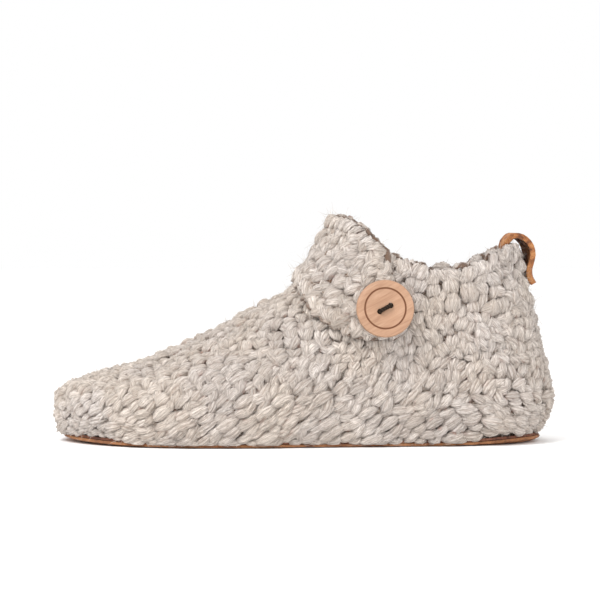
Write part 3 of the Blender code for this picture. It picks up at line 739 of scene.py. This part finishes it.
def edge_wraps(yarn, sheet, a, b, outward, pitch, run, down, over, width=0.0048, lower=None,
               flip=None, inset=EDGE_INSET, settle=0.0):
    """Slanted strands that wrap over an edge; outward says which way leaves the sheet."""
    centre = sheet.place(a, b)
    normal = sheet.facing(a, b)
    tangent = unit(np.gradient(centre, axis=0))
    away = outward[0] * sheet.sample(sheet.along, a, b) + outward[1] * sheet.sample(sheet.up, a, b)
    away = unit(away - np.sum(away * tangent, axis=-1, keepdims=True) * tangent)
    centre = centre - normal * (WALL / 2 + settle) - away * inset
    along = lengths_along(centre)
    count = max(int(round(along[-1] / pitch)), 1)
    middle = (np.arange(count) + 0.5 + rng.uniform(-0.22, 0.22, count)) * along[-1] / count
    t = RINGS[None, :]

    def pick(field, at):
        return np.stack([np.interp(at, along, field[:, c]) for c in range(3)], axis=-1)

    way = np.ones(count) if flip is None else flip(pick(centre, middle))
    reach = run * rng.uniform(0.75, 1.3, count)
    at = np.clip(middle[:, None] + (t - 0.5) * (way * reach)[:, None], 0, along[-1])
    start = -down * rng.uniform(0.75, 1.25, count)[:, None]
    climb = start + (over - start) * t
    base, face, out = pick(centre, at), unit(pick(normal, at)), unit(pick(away, at))
    radius = np.full(count, WALL / 2 - 0.0013) + rng.normal(0, 0.0002, count)
    rise = 0.0
    if lower is not None:
        spots = pick(centre, middle)
        radius = np.maximum(radius - lower(spots), 0.0002)
        beside_loop = (spots[:, 0] > 0.090) & (np.abs(spots[:, 1]) > 0.0085)
        rise = (0.0026 * beside_loop)[:, None]
    radius = radius[:, None]
    turn = np.clip(climb / radius, 0, np.pi)
    beyond = np.minimum(climb, 0) - np.maximum(climb - np.pi * radius, 0)
    facing = face * np.cos(turn)[..., None] + out * np.sin(turn)[..., None]
    sink = 0.0016 * np.abs(2 * t - 1) ** 2.6
    centres = base + facing * (radius - sink)[..., None] + out * (beyond + rise)[..., None]
    size = rng.uniform(0.88, 1.15, count)
    yarn.add(centres, facing, width * size, width * 0.78 * size, rng.normal(0.5, 0.16, count))


# Materials


SHADER_INPUTS = {
    "colour": "Base Color",
    "roughness": "Roughness",
    "specular": "Specular IOR Level",
    "sheen": "Sheen Weight",
    "normal": "Normal",
}


class Nodes:
    """A short way to write a material's node tree."""

    def __init__(self, name):
        self.material = bpy.data.materials.new(name)
        self.material.use_nodes = True
        self.tree = self.material.node_tree
        self.shader = self.tree.nodes["Principled BSDF"]
        self.where = self.add("ShaderNodeTexCoord").outputs["Object"]

    def add(self, kind, **values):
        node = self.tree.nodes.new(kind)
        for key, value in values.items():
            setattr(node, key, value)
        return node

    def link(self, value, target):
        """Feeds an input from a socket, or with a plain value or colour."""
        if isinstance(value, bpy.types.NodeSocket):
            self.tree.links.new(value, target)
        else:
            target.default_value = (*value, 1.0) if isinstance(value, tuple) else value

    def finish(self, **values):
        """Gives the shader its colour, roughness and so on, and returns the material."""
        for name, value in values.items():
            self.link(value, self.shader.inputs[SHADER_INPUTS[name]])
        return self.material

    def noise(self, vector, scale, detail=3.0, roughness=0.5, distortion=0.0):
        node = self.add("ShaderNodeTexNoise")
        node.inputs["Scale"].default_value = scale
        node.inputs["Detail"].default_value = detail
        node.inputs["Roughness"].default_value = roughness
        node.inputs["Distortion"].default_value = distortion
        self.link(vector, node.inputs["Vector"])
        return node.outputs["Fac"]

    def ramp(self, factor, *stops):
        node = self.add("ShaderNodeValToRGB")
        elements = node.color_ramp.elements
        while len(elements) < len(stops):
            elements.new(0.5)
        for element, (position, colour) in zip(elements, stops):
            element.position = position
            element.color = (*colour, 1.0)
        self.link(factor, node.inputs["Fac"])
        return node.outputs["Color"]

    def mix(self, factor, a, b, blend="MIX"):
        node = self.add("ShaderNodeMix", data_type="RGBA", blend_type=blend)
        for name, value in (("Factor", factor), ("A", a), ("B", b)):
            self.link(value, node.inputs[name])
        return [s for s in node.outputs if s.type == "RGBA"][0]

    def math(self, operation, a, b=0.0, clamp=False):
        node = self.add("ShaderNodeMath", operation=operation, use_clamp=clamp)
        for socket, value in zip(node.inputs, (a, b)):
            self.link(value, socket)
        return node.outputs[0]

    def scaled(self, vector, scale):
        node = self.add("ShaderNodeMapping")
        node.inputs["Scale"].default_value = scale
        self.link(vector, node.inputs["Vector"])
        return node.outputs["Vector"]

    def bump(self, height, strength, distance, below=None):
        node = self.add("ShaderNodeBump")
        node.inputs["Strength"].default_value = strength
        node.inputs["Distance"].default_value = distance
        self.link(height, node.inputs["Height"])
        if below is not None:
            self.link(below, node.inputs["Normal"])
        return node.outputs["Normal"]


def grey(value):
    return (value, value, value)


def wool_material(name, light, shade, hole_shade):
    m = Nodes(name)
    uv = m.add("ShaderNodeUVMap", uv_map="UVMap").outputs["UV"]
    paint = m.add("ShaderNodeAttribute", attribute_name="yarn").outputs["Color"]
    split = m.add("ShaderNodeSeparateColor")
    m.link(paint, split.inputs["Color"])
    tone, sunk, groove_shade = split.outputs[0], split.outputs[1], split.outputs[2]
    fibres = m.noise(m.scaled(uv, (0.075, 1.05, 1)), 1.0, 3.0, 0.55, 0.4)
    fine = m.noise(m.scaled(uv, (0.40, 3.6, 1)), 1.0, 3.0, 0.6, 0.3)
    # Painted shade and highlight at the fibres' scale: fine noise mottles a strand from its shade
    # colour through its own colour to a brighter one; each strand's tone then mixes it towards the
    # shade colour
    painted_highlight = tuple(min(c * 1.22, 1) for c in light)
    body = m.ramp(fine, (0.36, shade), (0.48, light), (0.60, painted_highlight))
    body = m.mix(m.math("MULTIPLY", m.math("SUBTRACT", 0.80, tone), 0.60, True), body, shade)
    # Painted shade in fine grooves: thin dark lines run along a strand where the noise crosses its
    # middle value; they and the painted valley shade are mixed towards a dark shade colour
    crossing = m.math("ABSOLUTE", m.math("SUBTRACT", fibres, 0.5))
    line = m.ramp(crossing, (0.0, grey(1.0)), (0.045, grey(0.0)))
    valley_shade = m.ramp(groove_shade, (0.38, grey(0.0)), (0.95, grey(1.0)))
    dark = m.math("MAXIMUM", m.math("MULTIPLY", line, 0.74), m.math("MULTIPLY", valley_shade, 0.70))
    toned = m.mix(dark, body, tuple(0.30 * s + 0.70 * h for s, h in zip(shade, hole_shade)))
    cloud = m.noise(m.where, 38.0, 2.0)
    warm = m.ramp(cloud, (0.38, (1.0, 0.975, 0.94)), (0.62, (0.975, 0.98, 1.0)))
    toned = m.mix(0.8, toned, warm, "MULTIPLY")
    # Painted shade: dark reddish flecks, only where sunk marks a strand as lying in the gaps
    fleck = m.noise(m.where, 190.0, 2.0, 0.6)
    shade_fleck_mask = m.math("MULTIPLY", m.ramp(fleck, (0.58, grey(0.0)), (0.66, grey(1.0))), sunk)
    toned = m.mix(shade_fleck_mask, toned, (0.34, 0.15, 0.105))
    # Painted shade: where sunk is high the colour goes most of the way to the dark hole-shade
    # colour
    depth = m.ramp(sunk, (0.35, grey(0.0)), (0.88, grey(1.0)))
    final = m.mix(m.math("MULTIPLY", depth, 0.92), toned, hole_shade)
    coarse = m.bump(crossing, 0.7, 0.0030)
    return m.finish(colour=final, roughness=0.92, specular=0.15, sheen=0.2,
                    normal=m.bump(fine, 0.7, 0.0005, coarse))


WOOL_LIGHT = (0.690, 0.626, 0.575)
WOOL_SHADE = (0.440, 0.375, 0.320)
WOOL_HOLE_SHADE = (0.135, 0.074, 0.044)
WOOL = wool_material("oatmeal_wool_yarn", WOOL_LIGHT, WOOL_SHADE, WOOL_HOLE_SHADE)


def core_shade_material():
    m = Nodes("oatmeal_wool_core_shade")
    # Painted shade: the core shows only in the gaps between strands, so it is coloured from a dark
    # brown up to the wool's shade colour
    lumps = m.noise(m.where, 420.0, 4.0, 0.65, 0.8)
    colour = m.ramp(lumps, (0.40, (0.12, 0.075, 0.052)), (0.58, (0.47, 0.395, 0.335)))
    return m.finish(colour=colour, roughness=0.95, specular=0.1,
                    normal=m.bump(lumps, 1.0, 0.001))


def leather_material(name, dark, mid, light, scale=1.0):
    m = Nodes(name)
    blotch = m.noise(m.where, 120.0 * scale, 4.0, 0.6)
    grain = m.noise(m.where, 900.0 * scale, 4.0, 0.65)
    base = m.ramp(blotch, (0.32, dark), (0.50, mid), (0.70, light))
    speck = m.ramp(grain, (0.36, grey(0.55)), (0.50, grey(1.0)), (0.72, grey(1.12)))
    colour = m.mix(1.0, base, speck, "MULTIPLY")
    rough = m.ramp(grain, (0.3, grey(0.75)), (0.7, grey(0.55)))
    pits = m.bump(grain, 0.5, 0.0004)
    return m.finish(colour=colour, roughness=rough, specular=0.35,
                    normal=m.bump(blotch, 0.3, 0.0008, pits))


def felt_material():
    m = Nodes("wool_felt_pad")
    mat = m.noise(m.where, 700.0, 5.0, 0.7)
    cloud = m.noise(m.where, 60.0, 3.0, 0.5)
    base = m.ramp(cloud, (0.35, (0.46, 0.385, 0.32)), (0.65, (0.57, 0.49, 0.42)))
    fibre = m.ramp(mat, (0.30, grey(0.72)), (0.60, grey(1.05)))
    return m.finish(colour=m.mix(1.0, base, fibre, "MULTIPLY"), roughness=0.95, specular=0.1,
                    sheen=0.3, normal=m.bump(mat, 0.7, 0.0006))


def wood_material(centre, facing, line):
    """Turned wood: straight grain across the face, a dark ring and one satin finish all over."""
    m = Nodes("turned_wood_button")
    offset = m.add("ShaderNodeVectorMath", operation="SUBTRACT")
    m.link(m.where, offset.inputs[0])
    offset.inputs[1].default_value = centre
    across = facing.cross(line)

    def part(way):
        node = m.add("ShaderNodeVectorMath", operation="DOT_PRODUCT")
        m.link(offset.outputs[0], node.inputs[0])
        node.inputs[1].default_value = way
        return node.outputs["Value"]

    x, y, depth = part(line), part(across), part(facing)
    radius = m.math("SQRT", m.math("ADD", m.math("MULTIPLY", x, x), m.math("MULTIPLY", y, y)))
    spot = m.add("ShaderNodeCombineXYZ")
    m.link(m.math("MULTIPLY", x, 0.10), spot.inputs[0])
    m.link(y, spot.inputs[1])
    m.link(m.math("MULTIPLY", depth, 0.5), spot.inputs[2])
    grain = m.noise(spot.outputs[0], 700.0, 4.0, 0.6, 0.6)
    cloud = m.noise(m.where, 90.0, 2.0)
    base = m.ramp(grain, (0.30, (0.29, 0.155, 0.092)), (0.50, (0.375, 0.218, 0.134)),
                  (0.72, (0.45, 0.275, 0.180)))
    base = m.mix(m.ramp(cloud, (0.35, grey(0.0)), (0.65, grey(0.35))), base, (0.38, 0.205, 0.120))
    # A dark band of colour, 9.8 mm from the button's centre
    ring = m.math("ABSOLUTE", m.math("SUBTRACT", radius, 0.0098))
    dark_ring = m.ramp(m.math("MULTIPLY", ring, 1000.0), (0.28, grey(1.0)), (0.62, grey(0.0)))
    colour = m.mix(dark_ring, base, (0.16, 0.065, 0.03))
    return m.finish(colour=colour, roughness=0.42, specular=0.4,
                    normal=m.bump(grain, 0.15, 0.0002))


def cord_material():
    m = Nodes("waxed_cord_dark")
    twist = m.add("ShaderNodeTexWave", wave_type="BANDS", bands_direction="DIAGONAL")
    twist.inputs["Scale"].default_value = 330.0
    twist.inputs["Distortion"].default_value = 1.5
    m.link(m.where, twist.inputs["Vector"])
    # Painted shade: the wave's bands between the cord's twisted strands take the darker colour
    strand, crease_shade = (0.026, 0.016, 0.010), (0.012, 0.007, 0.004)
    colour = m.ramp(twist.outputs["Fac"], (0.2, crease_shade), (0.8, strand))
    return m.finish(colour=colour, roughness=0.7, specular=0.12,
                    normal=m.bump(twist.outputs["Fac"], 0.6, 0.0004))


# Building


def copy_node(node, name, material, inset):
    """A piece from a CAD node's shape, moved in from its surface."""
    shape = bmesh.new()
    shape.from_mesh(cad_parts[node].data)
    bmesh.ops.remove_doubles(shape, verts=shape.verts[:], dist=0.00001)
    bmesh.ops.recalc_face_normals(shape, faces=shape.faces[:])
    shape.normal_update()
    for v in shape.verts:
        v.co -= v.normal * inset
    mesh = bpy.data.meshes.new(name)
    shape.to_mesh(mesh)
    shape.free()
    return new_object(name, mesh, material)


button_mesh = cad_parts["button"].data
low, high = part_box("button")
button_centre = (low + high) / 2
DIP_X = 0.068
BODY = body_sheet()
FLAP = flap_sheet(BODY)
BODY.settle = settle_low_wool
FLAP.settle = settle_flap


def lower_near_fittings(place):
    """Strands lie lower where leather or wood rests on the wool."""
    near_loop = (place[:, 0] > 0.094) & (np.abs(place[:, 1]) < 0.0095) & (place[:, 2] > 0.074)
    away = np.linalg.norm(place - np.array(button_centre)[None], axis=1)
    return 0.0016 * near_loop + 0.0012 * (away < 0.0125)


def in_throat(share, level):
    """Whether a place lies in the gap of the collar over the instep."""
    return (level > THROAT_LEVEL) & (share > QUARTER_EDGE_SHARE) & (share < FLAP_ROOT_SHARE)


def in_view(a, b):
    """Whether a place of the body has wool that the flap doesn't hide."""
    share = (1 - a) % 1.0
    return ~in_throat(share, b) & ~under_flap(share, b)


def build_wool():
    rows = even_rows(BODY, 0.75, -1.5, TOP_LEVEL - 0.35, ROW_SPACING)
    regions = {
        "wool_toe": lambda a: (a > 0.40) & (a <= 0.60),
        "wool_outer_side": lambda a: (a > 0.60) & (a <= 0.87),
        "wool_inner_side": lambda a: (a > 0.13) & (a <= 0.40),
        "wool_heel": lambda a: (a <= 0.13) | (a > 0.87),
    }
    yarns = {}
    for name, region in regions.items():
        yarn = Yarn()

        def keep(a, b, region=region):
            return region(a % 1.0) & in_view(a, b)

        base_layer(yarn, BODY, rows, keep=keep, lower=lower_near_fittings)
        stitch_rows(yarn, BODY, rows, keep=keep, lower=lower_near_fittings)
        yarns[name] = yarn
    grid_a, grid_b = pairs(np.arange(400) / 400, np.linspace(-1.2, TOP_LEVEL - 0.4, 72))
    open_air = in_view(grid_a, grid_b)
    for _ in range(3):
        bare_a, bare_b = bare_places(yarns.values(), BODY, grid_a[open_air], grid_b[open_air])
        for name, region in regions.items():
            here = region(bare_a)
            fill_strands(yarns[name], BODY, bare_a[here], bare_b[here], lower_near_fittings)
    flap = Yarn()
    flap_rows = np.linspace(0.12, 0.90, 5)
    base_layer(flap, FLAP, np.linspace(0.05, 0.95, 6), lower=lower_near_fittings)
    stitch_rows(flap, FLAP, flap_rows, lower=lower_near_fittings)
    grid_a, grid_b = pairs(np.linspace(0.02, 0.98, 60), np.linspace(0.06, 0.94, 24))
    for _ in range(2):
        bare_a, bare_b = bare_places([flap], FLAP, grid_a, grid_b, limit=0.0002)
        fill_strands(flap, FLAP, bare_a, bare_b, lower_near_fittings)
    rim = Yarn()
    a = np.linspace(1 - QUARTER_EDGE_SHARE, 2 - FLAP_ROOT_SHARE, 900)
    hidden = under_flap((1 - a) % 1.0, np.full(900, TOP_LEVEL))
    a = a[~hidden]
    edge_wraps(rim, BODY, a, np.full(len(a), TOP_LEVEL), (0, 1), 0.0041, 0.0062, 0.0050, 0.0045,
               lower=lower_near_fittings, flip=lambda p: np.where(p[:, 0] > DIP_X, 1, -1))
    line = np.linspace(0, 1, 400)
    edge_wraps(rim, FLAP, line, np.full(400, 1.0), (0, 1), 0.0044, 0.0058, 0.0050, 0.0045)
    edge_wraps(rim, FLAP, np.full(200, 1.0), np.linspace(1, 0, 200), (1, 0), 0.0040, 0.0066,
               0.0044, 0.0042)
    edge_wraps(rim, FLAP, line, np.zeros(400), (0, -1), 0.0048, 0.0090, 0.0042, 0.0014,
               width=0.0052, inset=0.0030, settle=FLAP_SETTLE)
    inside = Yarn()
    inner = inner_sheet(BODY)
    inner_rows = even_rows(inner, 0.25, 0.6, TOP_LEVEL - 0.25, ROW_SPACING * INSIDE_SPREAD)

    def keep_inner(a, b):
        share = a % 1.0
        place = inner.place(a, b)
        return ~in_throat(share, b) & (place[:, 0] > -0.075)

    stitch_rows(inside, inner, inner_rows, inside=True, keep=keep_inner)
    stitch_rows(inside, inner_sheet(FLAP), np.linspace(0.1, 0.95, 5), inside=True)
    made = [yarn.build(name, WOOL) for name, yarn in yarns.items()]
    made.append(flap.build("wool_flap", WOOL))
    made.append(rim.build("wool_edges", WOOL))
    made.append(inside.build("wool_inside", WOOL))
    return made, {**yarns, "flap": flap, "rim": rim}


HAIR_RADIUS = 0.00010
HAIR_COUNT = 13800


def build_fuzz(yarns, count):
    """Loose fibres that stand off the strands."""
    roots, ways, flows = [], [], []
    for yarn in yarns.values():
        for part in yarn.parts:
            if part["roots"] is not None:
                roots.append(part["roots"].reshape(-1, 3))
                ways.append(part["ways"].reshape(-1, 3))
                flows.append(part["flows"].reshape(-1, 3))
    roots, ways, flows = (np.concatenate(x) for x in (roots, ways, flows))
    pick = rng.integers(0, len(roots), count)
    root, way, flow = roots[pick], ways[pick], flows[pick]
    flow = flow * rng.choice([-1, 1], count)[:, None]
    length = rng.gamma(3.0, 0.0010, count).clip(0.0010, 0.0046)
    lean = rng.uniform(0.2, 1.0, count)[:, None]
    start = unit(way * lean + flow * 1.0 + rng.normal(0, 0.35, (count, 3)))
    curl = unit(rng.normal(0, 1, (count, 3)) + way * 0.6)
    steps = np.linspace(0, 1, 3)
    line = root[:, None] + start[:, None] * (length[:, None] * steps)[..., None]
    line = line + curl[:, None] * (0.70 * length[:, None] * steps**2)[..., None]
    line[..., 2] = np.maximum(line[..., 2], 0.0012)
    tangent = unit(np.gradient(line, axis=1))
    side = unit(np.cross(tangent, np.array([0.31, 0.52, 0.8])))
    other = np.cross(tangent, side)
    thin = HAIR_RADIUS * np.array([1.0, 0.8, 0.25])[None, :, None]
    corners = []
    for k in range(3):
        angle = 2 * math.pi * k / 3
        corners.append(line + thin * (math.cos(angle) * side + math.sin(angle) * other))
    ring = np.stack(corners, axis=2)
    points = ring.reshape(count, -1, 3)
    quads = tube_faces(3, 3)
    caps = np.array([[2, 1, 0], [6, 7, 8]])
    base = np.arange(count)[:, None, None] * 9
    loops = np.concatenate([(quads[None] + base).reshape(-1), (caps[None] + base).reshape(-1)])
    n_quads, n_caps = count * len(quads), count * 2
    starts = np.concatenate([np.arange(n_quads) * 4, n_quads * 4 + np.arange(n_caps) * 3])
    totals = np.concatenate([np.full(n_quads, 4), np.full(n_caps, 3)])
    m = Nodes("oatmeal_wool_fibre")
    tint = m.noise(m.where, 300.0, 1.0)
    colour = m.ramp(tint, (0.35, (0.50, 0.44, 0.385)), (0.65, (0.68, 0.62, 0.56)))
    return mesh_object("wool_fuzz", m.finish(colour=colour, roughness=0.8),
                       points.reshape(-1, 3), loops, starts, totals)


pieces, yarns = build_wool()
core = copy_node("upper", "wool_core", core_shade_material(), 0.0023)
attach(core, "root")
fuzz = build_fuzz(yarns, HAIR_COUNT)
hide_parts("upper")

felt = copy_node("insole", "felt_pad", felt_material(), 0.0)
divide = felt.modifiers.new("soften", "SUBSURF")
divide.levels = divide.render_levels = 1
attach(felt, "root")
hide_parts("insole")

facing_sum = Vector((0, 0, 0))
for polygon in button_mesh.polygons:
    if polygon.normal.y < -0.8:
        facing_sum += polygon.normal * polygon.area
facing = facing_sum.normalized()
level_way = Vector((0, 0, 1)).cross(facing).normalized()
line_way = Matrix.Rotation(math.radians(29), 3, facing) @ level_way

finishes = {
    "outsole": leather_material("tan_leather_sole", (0.15, 0.055, 0.024), (0.32, 0.135, 0.056),
                                (0.43, 0.20, 0.09)),
    "midsole": leather_material("russet_leather_ply", (0.07, 0.024, 0.013), (0.18, 0.066, 0.036),
                                (0.27, 0.11, 0.06)),
    "heel_loop": leather_material("tan_leather_loop", (0.10, 0.032, 0.012), (0.33, 0.125, 0.040),
                                  (0.50, 0.24, 0.09), 2.2),
    "button": wood_material(button_centre, facing, line_way),
    "button_cord": cord_material(),
}
for node, finish in finishes.items():
    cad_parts[node].data.materials[0] = finish

# Studio

scene = bpy.context.scene
scene.view_settings.view_transform = "Standard"
scene.view_settings.look = "None"


def studio():
    world = bpy.data.worlds.new("studio")
    scene.world = world
    world.use_nodes = True
    background = world.node_tree.nodes["Background"]
    background.inputs["Color"].default_value = (1.0, 1.0, 1.0, 1.0)
    background.inputs["Strength"].default_value = 1.0
    shape = bmesh.new()
    bmesh.ops.create_grid(shape, x_segments=4, y_segments=4, size=4.0)
    mesh = bpy.data.meshes.new("floor")
    shape.to_mesh(mesh)
    shape.free()
    white = Nodes("studio_floor").finish(colour=grey(1.0), roughness=0.9)
    floor = new_object("floor", mesh, white)
    floor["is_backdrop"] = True
    for name, place, size, power in (
        ("key", (-0.55, -0.75, 1.05), 0.6, 14.0),
        ("fill", (0.9, -0.8, 0.25), 0.9, 3.5),
        ("top", (0.1, 0.4, 1.3), 0.8, 2.5),
    ):
        data = bpy.data.lights.new(name, "AREA")
        data.energy = power
        data.size = size
        light = bpy.data.objects.new(name, data)
        light.location = place
        aim = Vector((0, 0, 0.05)) - Vector(place)
        light.rotation_mode = "QUATERNION"
        light.rotation_quaternion = aim.to_track_quat("-Z", "Y")
        scene.collection.objects.link(light)


TARGET = Vector((-0.00125, 0.0, 0.0703))
ELEVATION = math.radians(2.0)
DISTANCE = 1.2


def camera():
    data = bpy.data.cameras.new("camera")
    data.sensor_width = 36.0
    data.lens = 36.0 * DISTANCE / 0.300
    data.clip_start = 0.05
    data.clip_end = 20.0
    made = bpy.data.objects.new("camera", data)
    back = Vector((0, -math.cos(ELEVATION), math.sin(ELEVATION)))
    made.location = TARGET + DISTANCE * back
    made.rotation_mode = "QUATERNION"
    made.rotation_quaternion = (-back).to_track_quat("-Z", "Y")
    scene.collection.objects.link(made)
    scene.camera = made


studio()
camera()

low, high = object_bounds()
